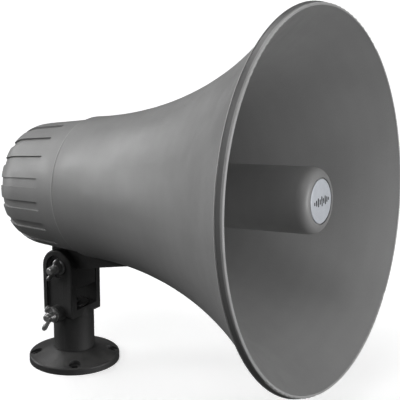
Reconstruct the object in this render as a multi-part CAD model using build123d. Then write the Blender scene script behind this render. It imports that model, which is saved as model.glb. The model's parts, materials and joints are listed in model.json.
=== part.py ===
from build123d import *
import math
import os

# Re-entrant paging horn on a swivel bracket.
# Millimetres, +Z up. The origin is the centre of the base flange's underside and the mouth faces +X.
# The horn's pieces are drawn in the horn frame: X is the station along the horn's axis, counted from
# the point of the axis above the origin, and Z is the radius. placed() moves them into the row frame.

# ---- Driving dimensions ------------------------------------------------------------------------
MOUTH_RADIUS = 140.0        # outside of the rim band
THROAT_RADIUS = 57.5        # outside of the bell at its rear ring
FLARE_RATE = 0.0072         # hyperbolic flare, per millimetre of station
FLARE_SHAPE = 0.086
BELL_WALL = 2.7
AXIS_HEIGHT = 154.3         # horn axis above the origin
MOUTH_TILT = 4.87           # degrees, mouth up at rest

# Stations along the horn's axis
COVER_REAR = -34.5
BELL_REAR = 28.8
BULKHEAD_REAR = 31.5
BULKHEAD_FRONT = 37.5
TUBE_FRONT = 206.0
NOSE_FRONT = 231.4
RIM_REAR = 229.3
RIM_FRONT = 233.6
LIP_FRONT = 235.4
LIP_INNER = 234.5

# Bell
RIM_FRONT_RADIUS = 139.2
LIP_CREST_RADIUS = 137.8
REAR_CHAMFER = 1.3
RING_INNER_RADIUS = 53.8
TURN_RADIUS = 8.0           # rounded corner where the sound turns at the bulkhead

# Tone tube and reflector
TONE_THROAT = 9.0
TONE_MOUTH = 15.0
TONE_WALL = 1.8
TONE_SPIGOT = 12.3
TONE_FLANGE = 21.0
TONE_FLANGE_THICK = 2.5
NOSE_RADIUS = 24.3
NOSE_ROUNDING = 8.0
REFLECTOR_WALL = 2.2
REFLECTOR_REAR = 58.0
REFLECTOR_REAR_RADIUS = 42.0
REFLECTOR_FLARE_START = 140.0
NOSE_INNER = 222.0
BADGE_RADIUS = 16.1
BADGE_THICK = 1.3
BADGE_GROOVE = 0.9

# Rear cover
COVER_FRONT_RADIUS = 55.5
COVER_SLOPE = 0.084         # radius gained per millimetre towards the mouth
SHOULDER_FRONT = -19.0      # the rounded rear edge starts here
SHOULDER_EDGE_RADIUS = 46.2
COVER_WALL = 3.2
FLUTE_COUNT = 18
FLUTE_ANGLE = 8.0           # degrees
FLUTE_TURN = 17.0           # degrees from the top to the first flute's middle
FLUTE_DEPTH = 1.6
FLUTE_FRONT = 10.0
PILLAR_CIRCLE = 41.2
PILLAR_RADIUS = 4.6
KNOB_Z = -4.0
GLAND_Z = -29.0

# Driver
PLATE_RADIUS = 36.0
DRIVER_SCREW_CIRCLE = 32.5
POLE_RADIUS = 18.2
COIL_RADIUS = 18.7
GAP_RADIUS = 20.1
DOME_RADIUS = 18.5
DOME_HEIGHT = 3.5
SHEET = 0.4                 # diaphragm thickness

# Transformer
CORE_WIDTH = 36.0
CORE_HEIGHT = 30.0
CORE_STACK = 12.0
CORE_LEG = 6.0
CORE_Z = 24.0
CORE_STATION = -14.0

# Fasteners and fits
M3 = 1.5
M4 = 2.0
M5 = 2.5
M6 = 3.0
HOLE_CLEARANCE = 0.05
RUNNING_CLEARANCE = 0.06
AXIAL_GAP = 0.1
WASHER_THICK = 1.0
WING_ANGLES = {"tilt": 64.0, "pan": 78.0}

# Bracket
FORK_X = -1.15
PIVOT_Z = 86.2
EAR_RADIUS = 15.75
EAR_OUTER = 19.4
EAR_INNER = 13.1
EAR_ROUNDING = 1.5
REAR_CORNER = 4.0
BLOCK_BOTTOM = 44.2
WEB_TOP = 50.8
LOCK_Z = 46.6
LOCK_BOSS_RADIUS = 7.0
LOCK_BOSS_FACE = 25.4
PANEL_MARGIN = 4.3
PANEL_DEPTH = 1.8
POCKET_RADIUS = 8.9
POCKET_DEPTH = 4.0
TONGUE_FRONT = 14.2
TONGUE_BOTTOM = 67.9
TONGUE_CORNER = 1.5
SADDLE_HALF_WIDTH = 12.5
SADDLE_REAR = -11.5
SADDLE_TIP = 70.0
SADDLE_SLOPE = 12.7         # degrees
SADDLE_UNDERSIDE = 83.3     # at the pivot

# Post and base
POST_RADIUS = 17.4
POST_FOOT = 12.3
BLEND_BOTTOM = 42.2         # the post narrows from here up to the web
FLANGE_RADIUS = 38.8
FLANGE_EDGE = 4.3
SPIGOT_SEAT = 11.5
SPIGOT_RADIUS = 12.0
SPIGOT_SHOULDER = 40.0
PILOT_RADIUS = 9.0
SPIGOT_TOP = WEB_TOP + AXIAL_GAP
CAP_SCREW_LENGTH = 14.0
BASE_HOLE_CIRCLE = 32.5
BASE_HOLE_RADIUS = 2.7
BASE_HOLE_TURN = 40.0       # degrees from +X to the first hole


# ---- Helpers -----------------------------------------------------------------------------------
def turned(*curves, arc=360):
    """Solid of revolution about the horn axis from a closed outline in (station, radius)."""
    edges = [edge for curve in curves for edge in curve.edges()]
    return revolve(Plane.XZ * make_face(edges), Axis.X, arc)


def turned_polygon(*points, arc=360):
    return turned(Polyline(*points, close=True), arc=arc)


def tube(rear, front, inner, outer):
    """Ring on the horn axis between two stations."""
    return turned_polygon((rear, inner), (front, inner), (front, outer), (rear, outer))


def rod(rear, front, radius, y=0.0, z=0.0):
    """Cylinder along the horn axis between two stations."""
    return Pos((rear + front) / 2, y, z) * Rot(0, 90, 0) * Cylinder(radius, front - rear)


def block(low, high):
    """Box between two corners."""
    size = [top - bottom for bottom, top in zip(low, high)]
    centre = [(top + bottom) / 2 for bottom, top in zip(low, high)]
    return Pos(*centre) * Box(*size)


def round_places(count, radius, first=0.0):
    """(y, z) points on a circle about the horn axis; first is in degrees from +Y."""
    angles = [math.radians(first + 360 / count * index) for index in range(count)]
    return [(radius * math.cos(angle), radius * math.sin(angle)) for angle in angles]


def group(solids):
    return Compound([solid for shape in solids for solid in shape.solids()])


def placed(shape):
    """Horn frame to row frame."""
    return Pos(0, 0, AXIS_HEIGHT) * Rot(0, -MOUTH_TILT, 0) * shape


def across(x, y, z):
    """Location whose +Z points along -Y of the row frame, and whose +Y points up."""
    return Pos(x, y, z) * Rot(90, 0, 0)


def facing_rear(station, y, z):
    """Location in the horn frame whose +Z points to the rear."""
    return Pos(station, y, z) * Rot(0, -90, 0)


def facing_front(station, y, z):
    """Location in the horn frame whose +Z points to the mouth."""
    return Pos(station, y, z) * Rot(0, 90, 0)


def screw(radius, length):
    """Pan-head cross-recess screw: shank below Z = 0, head above it."""
    head_radius = 1.85 * radius
    head_height = 1.2 * radius
    shank = Pos(0, 0, -length / 2) * Cylinder(radius, length)
    head = Pos(0, 0, head_height / 2) * Cylinder(head_radius, head_height)
    head = fillet(head.edges().sort_by(Axis.Z)[-1], 0.5 * head_height)
    recess = Box(1.9 * radius, 0.5 * radius, head_height) + Box(0.5 * radius, 1.9 * radius, head_height)
    return shank + head - Pos(0, 0, head_height) * recess


def hex_nut(radius, bore, height):
    """Nut standing on Z = 0; radius is the corner radius."""
    nut = extrude(RegularPolygon(radius, 6) - Circle(bore), height)
    return nut


def washer(inner, outer, height=WASHER_THICK):
    return extrude(Circle(outer) - Circle(inner), height)


# ---- Horn --------------------------------------------------------------------------------------
def flare(station, throat):
    reach = FLARE_RATE * (station - BELL_REAR)
    return throat * (math.cosh(reach) + FLARE_SHAPE * math.sinh(reach))


def dome_arc(base, height, radius):
    """Arc of a sphere centred on the horn axis, from the rim of a dome to its crown."""
    sphere = (radius ** 2 + height ** 2) / (2 * height)
    centre = base + height - sphere
    middle = (centre + math.sqrt(sphere ** 2 - (radius / 2) ** 2), radius / 2)
    return ThreePointArc((base, radius), middle, (base + height, 0))


def flare_curve(throat, rear, front, count=10):
    stations = [rear + (front - rear) * index / (count - 1) for index in range(count)]
    return Spline(*[(station, flare(station, throat)) for station in stations])


def saddle_screw_places():
    return [(44.0, side * 7.0) for side in (-1, 1)]


def horn_bell():
    """Bell with its rim band, the bulkhead that closes its rear, and the ring the cover fits into."""
    inner_throat = THROAT_RADIUS - BELL_WALL
    outer_start = BELL_REAR + REAR_CHAMFER
    turn_station = BULKHEAD_FRONT + TURN_RADIUS
    turn_radius = flare(turn_station, inner_throat)
    outer = flare_curve(THROAT_RADIUS, outer_start, RIM_REAR)
    band = Polyline(
        (RIM_REAR, flare(RIM_REAR, THROAT_RADIUS)),
        (RIM_REAR, MOUTH_RADIUS),
        (RIM_FRONT, RIM_FRONT_RADIUS),
    )
    lip = ThreePointArc(
        (RIM_FRONT, RIM_FRONT_RADIUS),
        (LIP_FRONT, LIP_CREST_RADIUS),
        (LIP_INNER, flare(LIP_INNER, inner_throat)),
    )
    inner = flare_curve(inner_throat, turn_station, LIP_INNER)
    corner = TangentArc(
        (turn_station, turn_radius),
        (BULKHEAD_FRONT, turn_radius - TURN_RADIUS),
        tangent=(-1, 0),
    )
    rear = Polyline(
        (BULKHEAD_FRONT, turn_radius - TURN_RADIUS),
        (BULKHEAD_FRONT, TONE_SPIGOT + HOLE_CLEARANCE),
        (BULKHEAD_REAR, TONE_SPIGOT + HOLE_CLEARANCE),
        (BULKHEAD_REAR, RING_INNER_RADIUS),
        (BELL_REAR, RING_INNER_RADIUS),
        (BELL_REAR, THROAT_RADIUS - REAR_CHAMFER),
        (outer_start, flare(outer_start, THROAT_RADIUS)),
    )
    bell = turned(outer, band, lip, inner, corner, rear)
    holes = [rod(BULKHEAD_REAR, BULKHEAD_REAR + 5, M4 + HOLE_CLEARANCE, y, z)
             for y, z in round_places(4, PILLAR_CIRCLE, 45)]
    holes += [rod(BULKHEAD_REAR, BULKHEAD_REAR + 5, M3 + HOLE_CLEARANCE, y, z)
              for y, z in round_places(4, DRIVER_SCREW_CIRCLE, 45)]
    holes += [rod(BULKHEAD_FRONT - 5, BULKHEAD_FRONT, M3 + HOLE_CLEARANCE, y, z)
              for y, z in round_places(3, TONE_FLANGE - 4, 90)]
    for station, y in saddle_screw_places():
        seat = saddle_screw_seat(station)
        holes.append(Pos(station, y, seat - 10) * Cylinder(M4 + HOLE_CLEARANCE, 20))
        holes.append(Pos(station, y, seat + 5) * Cylinder(2.2 * M4, 10))
    return bell - holes


def saddle_screw_seat(station):
    """Height in the horn frame of the flat under a saddle screw's head, inside the bell."""
    inside = flare(station, THROAT_RADIUS - BELL_WALL)
    widest = 7.0 + 2.2 * M4
    return -math.sqrt(inside ** 2 - widest ** 2)


def tone_tube():
    """Tapered inner tube, flanged on to the bulkhead."""
    flange_front = BULKHEAD_FRONT + TONE_FLANGE_THICK
    slope = (TONE_MOUTH - TONE_THROAT) / (TUBE_FRONT - BULKHEAD_REAR)
    root = TONE_THROAT + TONE_WALL + slope * (flange_front + 3 - BULKHEAD_REAR)
    body = turned_polygon(
        (BULKHEAD_REAR, TONE_THROAT),
        (TUBE_FRONT, TONE_MOUTH),
        (TUBE_FRONT, TONE_MOUTH + TONE_WALL),
        (flange_front + 3, root),
        (flange_front, root + 3),
        (flange_front, TONE_FLANGE),
        (BULKHEAD_FRONT, TONE_FLANGE),
        (BULKHEAD_FRONT, TONE_SPIGOT),
        (BULKHEAD_REAR, TONE_SPIGOT),
    )
    return body - [rod(BULKHEAD_FRONT, flange_front, M3 + HOLE_CLEARANCE, y, z)
                   for y, z in round_places(3, TONE_FLANGE - 4, 90)]


def tone_tube_screws():
    seat = BULKHEAD_FRONT + TONE_FLANGE_THICK
    return group([facing_front(seat, y, z) * screw(M3, TONE_FLANGE_THICK + 4.5)
                  for y, z in round_places(3, TONE_FLANGE - 4, 90)])


SPIDER_REAR = TUBE_FRONT - 9
SPIDER_FRONT = 214.0


def tube_spider():
    """Three-armed hub in the front of the tone tube that carries the reflector."""
    slope = (TONE_MOUTH - TONE_THROAT) / (TUBE_FRONT - BULKHEAD_REAR)
    rim_front = TONE_MOUTH - HOLE_CLEARANCE
    rim_rear = rim_front - slope * (TUBE_FRONT - SPIDER_REAR)
    rim_wall = 1.4
    rim = turned_polygon(
        (SPIDER_REAR, rim_rear - rim_wall),
        (TUBE_FRONT, rim_front - rim_wall),
        (TUBE_FRONT, rim_front),
        (SPIDER_REAR, rim_rear),
    )
    hub = rod(SPIDER_REAR, SPIDER_FRONT, 5.0)
    arm_length = rim_rear - rim_wall / 2
    arm = block((SPIDER_REAR, -1, 0), (TUBE_FRONT, 1, arm_length))
    arms = [Rot(120 * index, 0, 0) * arm for index in range(3)]
    return rim + hub + arms - rod(SPIDER_REAR, SPIDER_FRONT, M4 + HOLE_CLEARANCE)


NOSE_HEAD_SEAT = 227.0


def reflector():
    """Cup over the tone tube: rounded nose in front, flared open skirt behind."""
    flare_mid = (REFLECTOR_REAR + REFLECTOR_FLARE_START) / 2
    inner_radius = NOSE_RADIUS - REFLECTOR_WALL
    recess = BADGE_RADIUS + BADGE_GROOVE
    seat = NOSE_FRONT - BADGE_THICK
    face_edge = recess + 1.0
    boss = 7.0
    head_pocket = 4.4
    skirt_outer = Bezier(
        (REFLECTOR_REAR, REFLECTOR_REAR_RADIUS),
        (flare_mid, NOSE_RADIUS),
        (REFLECTOR_FLARE_START, NOSE_RADIUS),
    )
    side = Line((REFLECTOR_FLARE_START, NOSE_RADIUS), (NOSE_FRONT - NOSE_ROUNDING, NOSE_RADIUS))
    rounding = Bezier(
        (NOSE_FRONT - NOSE_ROUNDING, NOSE_RADIUS),
        (NOSE_FRONT - 0.6, NOSE_RADIUS - 0.4),
        (NOSE_FRONT, face_edge),
    )
    front = Polyline(
        (NOSE_FRONT, face_edge),
        (NOSE_FRONT, recess),
        (seat, recess),
        (seat, head_pocket),
        (NOSE_HEAD_SEAT, head_pocket),
        (NOSE_HEAD_SEAT, M4 + HOLE_CLEARANCE),
        (SPIDER_FRONT, M4 + HOLE_CLEARANCE),
        (SPIDER_FRONT, boss - 1.5),
    )
    deflector = Bezier(
        (SPIDER_FRONT, boss - 1.5),
        (NOSE_INNER + 1.5, boss),
        (NOSE_INNER, inner_radius - 6),
    )
    turn = Bezier(
        (NOSE_INNER, inner_radius - 6),
        (NOSE_INNER, inner_radius),
        (NOSE_INNER - 6, inner_radius),
    )
    inside = Line((NOSE_INNER - 6, inner_radius), (REFLECTOR_FLARE_START, inner_radius))
    skirt_inner = Bezier(
        (REFLECTOR_FLARE_START, inner_radius),
        (flare_mid, inner_radius),
        (REFLECTOR_REAR, REFLECTOR_REAR_RADIUS - REFLECTOR_WALL),
    )
    edge = Line((REFLECTOR_REAR, REFLECTOR_REAR_RADIUS - REFLECTOR_WALL), (REFLECTOR_REAR, REFLECTOR_REAR_RADIUS))
    return turned(skirt_outer, side, rounding, front, deflector, turn, inside, skirt_inner, edge)


def nose_screw():
    return facing_front(NOSE_HEAD_SEAT, 0, 0) * screw(M4, NOSE_HEAD_SEAT - SPIDER_REAR + 6)


def nose_nut():
    return facing_rear(SPIDER_REAR, 0, 0) * hex_nut(3.9, M4 + HOLE_CLEARANCE, 3.2)


def badge():
    """Round badge plate with a slightly domed face, in the recess of the nose."""
    seat = NOSE_FRONT - BADGE_THICK
    edge_front = NOSE_FRONT + 0.1
    bulge = 0.6
    back = Polyline((edge_front + bulge, 0), (seat, 0), (seat, BADGE_RADIUS), (edge_front, BADGE_RADIUS))
    return turned(dome_arc(edge_front, bulge, BADGE_RADIUS), back)


# ---- Rear cover --------------------------------------------------------------------------------
COVER_INSIDE = COVER_REAR + COVER_WALL
COVER_LIP_FRONT = 30.3
COVER_LIP_OUTER = 53.6
COVER_LIP_INNER = 51.0
SCREW_POCKET = 3.0


def cover_radius(station):
    """Outside of the cover's lands, ahead of its rounded rear edge."""
    return COVER_FRONT_RADIUS + COVER_SLOPE * (station - BELL_REAR)


def shoulder_curve(inset=0.0):
    """Rounded rear edge of the cover, from its side to its rear face."""
    start = cover_radius(SHOULDER_FRONT)
    return Bezier(
        (SHOULDER_FRONT, start - inset),
        (SHOULDER_FRONT - 7, start - 7 * COVER_SLOPE - inset),
        (COVER_REAR + 3.5, SHOULDER_EDGE_RADIUS + 2.4 - inset),
        (COVER_REAR, SHOULDER_EDGE_RADIUS - inset),
    )


def flute_cutter():
    """Everything outside one flute's floor, starting at the top of the cover."""
    beyond = COVER_FRONT_RADIUS + 5
    floor = Line(
        (FLUTE_FRONT, cover_radius(FLUTE_FRONT) - FLUTE_DEPTH),
        (SHOULDER_FRONT, cover_radius(SHOULDER_FRONT) - FLUTE_DEPTH),
    )
    around = Polyline(
        (COVER_REAR, SHOULDER_EDGE_RADIUS - FLUTE_DEPTH),
        (COVER_REAR - 1, SHOULDER_EDGE_RADIUS - FLUTE_DEPTH),
        (COVER_REAR - 1, beyond),
        (FLUTE_FRONT, beyond),
        (FLUTE_FRONT, cover_radius(FLUTE_FRONT) - FLUTE_DEPTH),
    )
    return turned(floor, shoulder_curve(FLUTE_DEPTH), around, arc=FLUTE_ANGLE)


def rear_cover():
    """Fluted cap over the driver, with four screw pillars and holes for the knob and the gland."""
    seam = BELL_REAR - 0.1
    lip_rear = 24.0
    inner_corner = SHOULDER_EDGE_RADIUS - COVER_WALL
    side = Line((seam, cover_radius(seam)), (SHOULDER_FRONT, cover_radius(SHOULDER_FRONT)))
    inside = Polyline(
        (COVER_REAR, SHOULDER_EDGE_RADIUS),
        (COVER_REAR, 0),
        (COVER_INSIDE, 0),
        (COVER_INSIDE, inner_corner),
        (SHOULDER_FRONT - 3, cover_radius(SHOULDER_FRONT) - COVER_WALL),
        (lip_rear, cover_radius(lip_rear) - COVER_WALL),
        (lip_rear + 2, COVER_LIP_INNER),
        (COVER_LIP_FRONT, COVER_LIP_INNER),
        (COVER_LIP_FRONT, COVER_LIP_OUTER),
        (seam, COVER_LIP_OUTER),
        (seam, cover_radius(seam)),
    )
    shell = turned(side, shoulder_curve(), inside)
    pillars = [rod(COVER_INSIDE - 1, BULKHEAD_REAR - AXIAL_GAP, PILLAR_RADIUS, y, z)
               for y, z in round_places(4, PILLAR_CIRCLE, 45)]
    pitch = 360 / FLUTE_COUNT
    flutes = [Rot(pitch * index + FLUTE_TURN - FLUTE_ANGLE / 2, 0, 0) * flute_cutter()
              for index in range(FLUTE_COUNT)]
    holes = []
    for y, z in round_places(4, PILLAR_CIRCLE, 45):
        holes.append(rod(COVER_REAR, BULKHEAD_REAR, M4 + HOLE_CLEARANCE, y, z))
        holes.append(rod(COVER_REAR - 1, COVER_REAR + SCREW_POCKET, 4.0, y, z))
    holes.append(rod(COVER_REAR - 1, COVER_REAR + KNOB_WELL_DEPTH, KNOB_RADIUS + 1.5, 0, KNOB_Z))
    holes.append(rod(COVER_REAR - 1, COVER_INSIDE + 1, KNOB_SHAFT + 0.4, 0, KNOB_Z))
    holes.append(rod(COVER_REAR - 1, COVER_INSIDE + 1, GLAND_THREAD + HOLE_CLEARANCE, 0, GLAND_Z))
    return shell + pillars - flutes - holes


def cover_seal():
    return tube(COVER_LIP_FRONT, BULKHEAD_REAR, COVER_LIP_INNER + 0.3, COVER_LIP_OUTER - 0.1)


def cover_screws():
    seat = COVER_REAR + SCREW_POCKET
    length = BULKHEAD_REAR + 4.5 - seat
    return group([facing_rear(seat, y, z) * screw(M4, length) for y, z in round_places(4, PILLAR_CIRCLE, 45)])


# ---- Compression driver ------------------------------------------------------------------------
GASKET_REAR = 30.5
THROAT_PLATE_REAR = 24.5
TOP_PLATE_FRONT = 23.5
TOP_PLATE_REAR = 18.5
MAGNET_REAR = 6.5
YOKE_REAR = 2.0
POLE_FRONT = 23.0
DOME_BASE = 24.0
ROLL_OUTER = 23.5


def driver_gasket():
    ring = tube(GASKET_REAR, BULKHEAD_REAR, TONE_SPIGOT + 1, PLATE_RADIUS)
    return ring - [rod(GASKET_REAR, BULKHEAD_REAR, M3 + 0.2, y, z)
                   for y, z in round_places(4, DRIVER_SCREW_CIRCLE, 45)]


def throat_plate():
    """Die-cast front of the driver: cavity over the diaphragm and the throat bore."""
    roof = ThreePointArc((26.4, 22.6), (27.6, 14), (28.2, TONE_THROAT))
    rest = Polyline(
        (28.2, TONE_THROAT),
        (GASKET_REAR, TONE_THROAT),
        (GASKET_REAR, PLATE_RADIUS),
        (THROAT_PLATE_REAR, PLATE_RADIUS),
        (THROAT_PLATE_REAR, ROLL_OUTER + 0.6),
        (26.4, 22.6),
    )
    return turned(roof, rest) - [rod(THROAT_PLATE_REAR, GASKET_REAR, M3 + HOLE_CLEARANCE, y, z)
                                 for y, z in round_places(4, DRIVER_SCREW_CIRCLE, 45)]


def phase_plug():
    """Bullet in the throat, held by three ribs."""
    plug_radius = 7.0
    plug_tip = 44.0
    plug_rear = 28.7
    nose = Spline((plug_rear, plug_radius), (34.0, 5.2), (plug_tip, 0), tangents=[(1, -0.1), (1, -1)])
    base = Polyline((plug_tip, 0), (plug_rear, 0), (plug_rear, plug_radius))
    rib = block((plug_rear, -0.6, plug_radius - 1), (GASKET_REAR - 0.1, 0.6, TONE_THROAT - HOLE_CLEARANCE))
    return turned(nose, base) + [Rot(120 * index, 0, 0) * rib for index in range(3)]


def diaphragm():
    """Dome with its rolled surround."""
    edge = 19.6
    roll_middle = (edge + ROLL_OUTER) / 2
    roll_height = 1.2
    crown = DOME_BASE + DOME_HEIGHT
    front = DOME_BASE + SHEET
    return turned(
        dome_arc(front, DOME_HEIGHT, DOME_RADIUS),
        Line((front, DOME_RADIUS), (front, edge)),
        ThreePointArc((front, edge), (front + roll_height, roll_middle), (front, ROLL_OUTER)),
        Line((front, ROLL_OUTER), (DOME_BASE, ROLL_OUTER)),
        ThreePointArc((DOME_BASE, ROLL_OUTER), (DOME_BASE + roll_height, roll_middle), (DOME_BASE, edge)),
        Line((DOME_BASE, edge), (DOME_BASE, DOME_RADIUS)),
        dome_arc(DOME_BASE, DOME_HEIGHT, DOME_RADIUS),
        Line((crown, 0), (crown + SHEET, 0)),
    )


def voice_coil():
    """Former with its winding, hanging in the magnet's gap."""
    former = 0.3
    winding = 0.9
    return turned_polygon(
        (15.5, COIL_RADIUS),
        (DOME_BASE, COIL_RADIUS),
        (DOME_BASE, COIL_RADIUS + former),
        (22.3, COIL_RADIUS + former),
        (22.3, COIL_RADIUS + winding),
        (16.5, COIL_RADIUS + winding),
        (16.5, COIL_RADIUS + former),
        (15.5, COIL_RADIUS + former),
    )


def diaphragm_clamp_ring():
    return tube(TOP_PLATE_FRONT, THROAT_PLATE_REAR, ROLL_OUTER + 0.3, 28.0)


def top_plate():
    return tube(TOP_PLATE_REAR, TOP_PLATE_FRONT, GAP_RADIUS, 29.0)


def magnet():
    return tube(MAGNET_REAR, TOP_PLATE_REAR, 22.5, 30.5)


def magnet_yoke():
    """Back plate and pole in one."""
    return turned_polygon(
        (YOKE_REAR, 0),
        (POLE_FRONT, 0),
        (POLE_FRONT, POLE_RADIUS),
        (MAGNET_REAR, POLE_RADIUS),
        (MAGNET_REAR, 29.0),
        (YOKE_REAR, 29.0),
    )


def driver_screws():
    length = BULKHEAD_REAR + 4.5 - THROAT_PLATE_REAR
    return group([facing_rear(THROAT_PLATE_REAR, y, z) * screw(M3, length)
                  for y, z in round_places(4, DRIVER_SCREW_CIRCLE, 45)])


LEAD_Y = 4.0
TAG_REAR = 17.5
TAG_Z = 31.8
LEAD_RADIUS = 0.7


def driver_terminals():
    """Two solder tags on the rear of the throat plate."""
    tag = block((TAG_REAR, -1.4, TAG_Z - 0.4), (THROAT_PLATE_REAR, 1.4, TAG_Z + 0.4))
    return group([Pos(0, side * LEAD_Y, 0) * tag for side in (-1, 1)])


# ---- Line transformer, tap switch and cable entry ----------------------------------------------
KNOB_RADIUS = 8.0
KNOB_WELL_DEPTH = 1.2
KNOB_SHAFT = 3.0
KNOB_REAR = COVER_REAR - 5.5
GLAND_THREAD = 6.0
GLAND_BORE = 4.0
CABLE_RADIUS = 3.25
COIL_REACH = 5.0


def transformer_core():
    """E-I lamination stack with its two windows."""
    body = Box(CORE_STACK, CORE_WIDTH, CORE_HEIGHT)
    window = Box(CORE_STACK, CORE_LEG, CORE_HEIGHT - 2 * CORE_LEG)
    windows = [Pos(0, side * 1.5 * CORE_LEG, 0) * window for side in (-1, 1)]
    return Pos(CORE_STATION, 0, CORE_Z) * (body - windows)


def transformer_winding():
    """Coil round the middle leg."""
    outside = Box(CORE_STACK + 2 * COIL_REACH, 4 * CORE_LEG - 0.4, CORE_HEIGHT - 2 * CORE_LEG - 0.4)
    outside = fillet(outside.edges().filter_by(Axis.Z), 2.5)
    leg = Box(CORE_STACK + 0.2, 2 * CORE_LEG + 0.2, CORE_HEIGHT)
    return Pos(CORE_STATION, 0, CORE_Z) * (outside - leg)


CLAMP_THICK = 1.2
CLAMP_FOOT = 7.0
CLAMP_LOW = 12.0
CLAMP_HIGH = 23.0


def transformer_clamps():
    """Steel brackets that hold the two ends of the core off the cover's rear wall."""
    side_y = CORE_WIDTH / 2
    front = CORE_STATION + CORE_STACK / 2
    rear = CORE_STATION - CORE_STACK / 2
    clamp = (
        block((COVER_INSIDE, side_y, CLAMP_LOW), (front + CLAMP_THICK, side_y + CLAMP_THICK, CLAMP_HIGH))
        + block((front, side_y - 4, CLAMP_LOW), (front + CLAMP_THICK, side_y, CLAMP_HIGH))
        + block((rear - CLAMP_THICK, side_y - 4, CLAMP_LOW), (rear, side_y, CLAMP_HIGH))
        + block((COVER_INSIDE, side_y, CLAMP_LOW), (COVER_INSIDE + CLAMP_THICK, side_y + CLAMP_FOOT, CLAMP_HIGH))
    )
    clamp -= rod(COVER_INSIDE, COVER_INSIDE + CLAMP_THICK, M3 + HOLE_CLEARANCE, *clamp_screw_place())
    return group([clamp, mirror(clamp, Plane.XZ)])


def clamp_screw_place():
    return CORE_WIDTH / 2 + 4.3, (CLAMP_LOW + CLAMP_HIGH) / 2


def transformer_screws():
    y, z = clamp_screw_place()
    return group([facing_front(COVER_INSIDE + CLAMP_THICK, side * y, z) * screw(M3, CLAMP_THICK)
                  for side in (-1, 1)])


def tap_switch():
    """Rotary switch body behind the knob, with a ring of contact pins."""
    body = rod(COVER_INSIDE, COVER_INSIDE + 11, 10.5, 0, KNOB_Z)
    pins = [rod(COVER_INSIDE + 11, COVER_INSIDE + 15, 0.8, y, z + KNOB_Z) for y, z in round_places(8, 8.0)]
    return body + pins - rod(COVER_INSIDE, COVER_INSIDE + 9, KNOB_SHAFT + RUNNING_CLEARANCE, 0, KNOB_Z)


def tap_selector_knob():
    """Fluted knob with a pointer rib, on its shaft."""
    grip = rod(KNOB_REAR, COVER_REAR + 0.2, KNOB_RADIUS, 0, 0)
    grip = fillet(grip.edges().sort_by(Axis.X)[0], 1.0)
    notches = [rod(KNOB_REAR, COVER_REAR - 1.5, 1.3, y, z) for y, z in round_places(10, KNOB_RADIUS + 0.5, 18)]
    pointer = block((KNOB_REAR - 0.8, -0.8, 1.0), (KNOB_REAR + 1, 0.8, KNOB_RADIUS - 1))
    shaft = rod(COVER_REAR, COVER_INSIDE + 8, KNOB_SHAFT)
    return Pos(0, 0, KNOB_Z) * (grip - notches + pointer + shaft)


TERMINAL_Y = 20.0
TERMINAL_Z = -16.0
TERMINAL_PITCH = 5.0


def terminal_block():
    """Three-way screw terminal block."""
    body = block(
        (COVER_INSIDE, TERMINAL_Y - 8, TERMINAL_Z - 5.5),
        (COVER_INSIDE + 12, TERMINAL_Y + 8, TERMINAL_Z + 5.5),
    )
    cuts = []
    for way in (-1, 0, 1):
        y = TERMINAL_Y + way * TERMINAL_PITCH
        cuts.append(rod(COVER_INSIDE + 6, COVER_INSIDE + 12, 1.9, y, TERMINAL_Z))
        cuts.append(Pos(COVER_INSIDE + 3.5, y, TERMINAL_Z - 3) * Cylinder(1.6, 6))
    return body - cuts


def terminal_screws():
    return group([facing_front(COVER_INSIDE + 9.5, TERMINAL_Y + way * TERMINAL_PITCH, TERMINAL_Z)
                  * Pos(0, 0, -1.8) * Cylinder(1.8, 3.4) for way in (-1, 0, 1)])


GLAND_HEX = 8.6
GLAND_FLANGE_REAR = COVER_REAR - 3.5
GLAND_TUBE_REAR = COVER_REAR - 8.0
GLAND_NUT_REAR = COVER_REAR - 10.0
GLAND_TUBE_FRONT = COVER_INSIDE + 5.5


def on_gland(shape):
    return Pos(0, 0, GLAND_Z) * shape


def cable_gland_body():
    """Threaded tube with its hexagon against the cover's rear face."""
    hexagon = facing_rear(COVER_REAR, 0, 0) * hex_nut(GLAND_HEX, GLAND_BORE, COVER_REAR - GLAND_FLANGE_REAR)
    return on_gland(hexagon + tube(GLAND_TUBE_REAR, GLAND_TUBE_FRONT, GLAND_BORE, GLAND_THREAD))


def cable_gland_nut():
    """Domed compression nut."""
    inner = GLAND_THREAD + HOLE_CLEARANCE
    mouth = CABLE_RADIUS + 0.5
    shell = turned_polygon(
        (GLAND_FLANGE_REAR - 0.2, inner),
        (GLAND_FLANGE_REAR - 0.2, GLAND_HEX - 0.8),
        (GLAND_NUT_REAR + 2.5, GLAND_HEX - 0.8),
        (GLAND_NUT_REAR, mouth + 1.6),
        (GLAND_NUT_REAR, mouth),
        (GLAND_TUBE_REAR - 0.2, mouth),
        (GLAND_TUBE_REAR - 0.2, inner),
    )
    notches = [rod(GLAND_NUT_REAR + 2, GLAND_FLANGE_REAR, 0.9, y, z)
               for y, z in round_places(12, GLAND_HEX - 0.5)]
    return on_gland(shell - notches)


def cable_gland_seal():
    """Rubber bush that grips the cable."""
    return on_gland(tube(GLAND_TUBE_REAR + 0.1, GLAND_TUBE_REAR + 7, CABLE_RADIUS, GLAND_BORE - HOLE_CLEARANCE))


def cable_gland_locknut():
    return on_gland(facing_front(COVER_INSIDE, 0, 0) * hex_nut(8.2, GLAND_THREAD + HOLE_CLEARANCE, 3.5))


def speaker_leads():
    """Two stiff wires from the transformer's winding to the driver's tags."""
    winding_front = CORE_STATION + CORE_STACK / 2 + COIL_REACH
    return group([rod(winding_front, TAG_REAR, LEAD_RADIUS, side * LEAD_Y, TAG_Z) for side in (-1, 1)])


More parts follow.
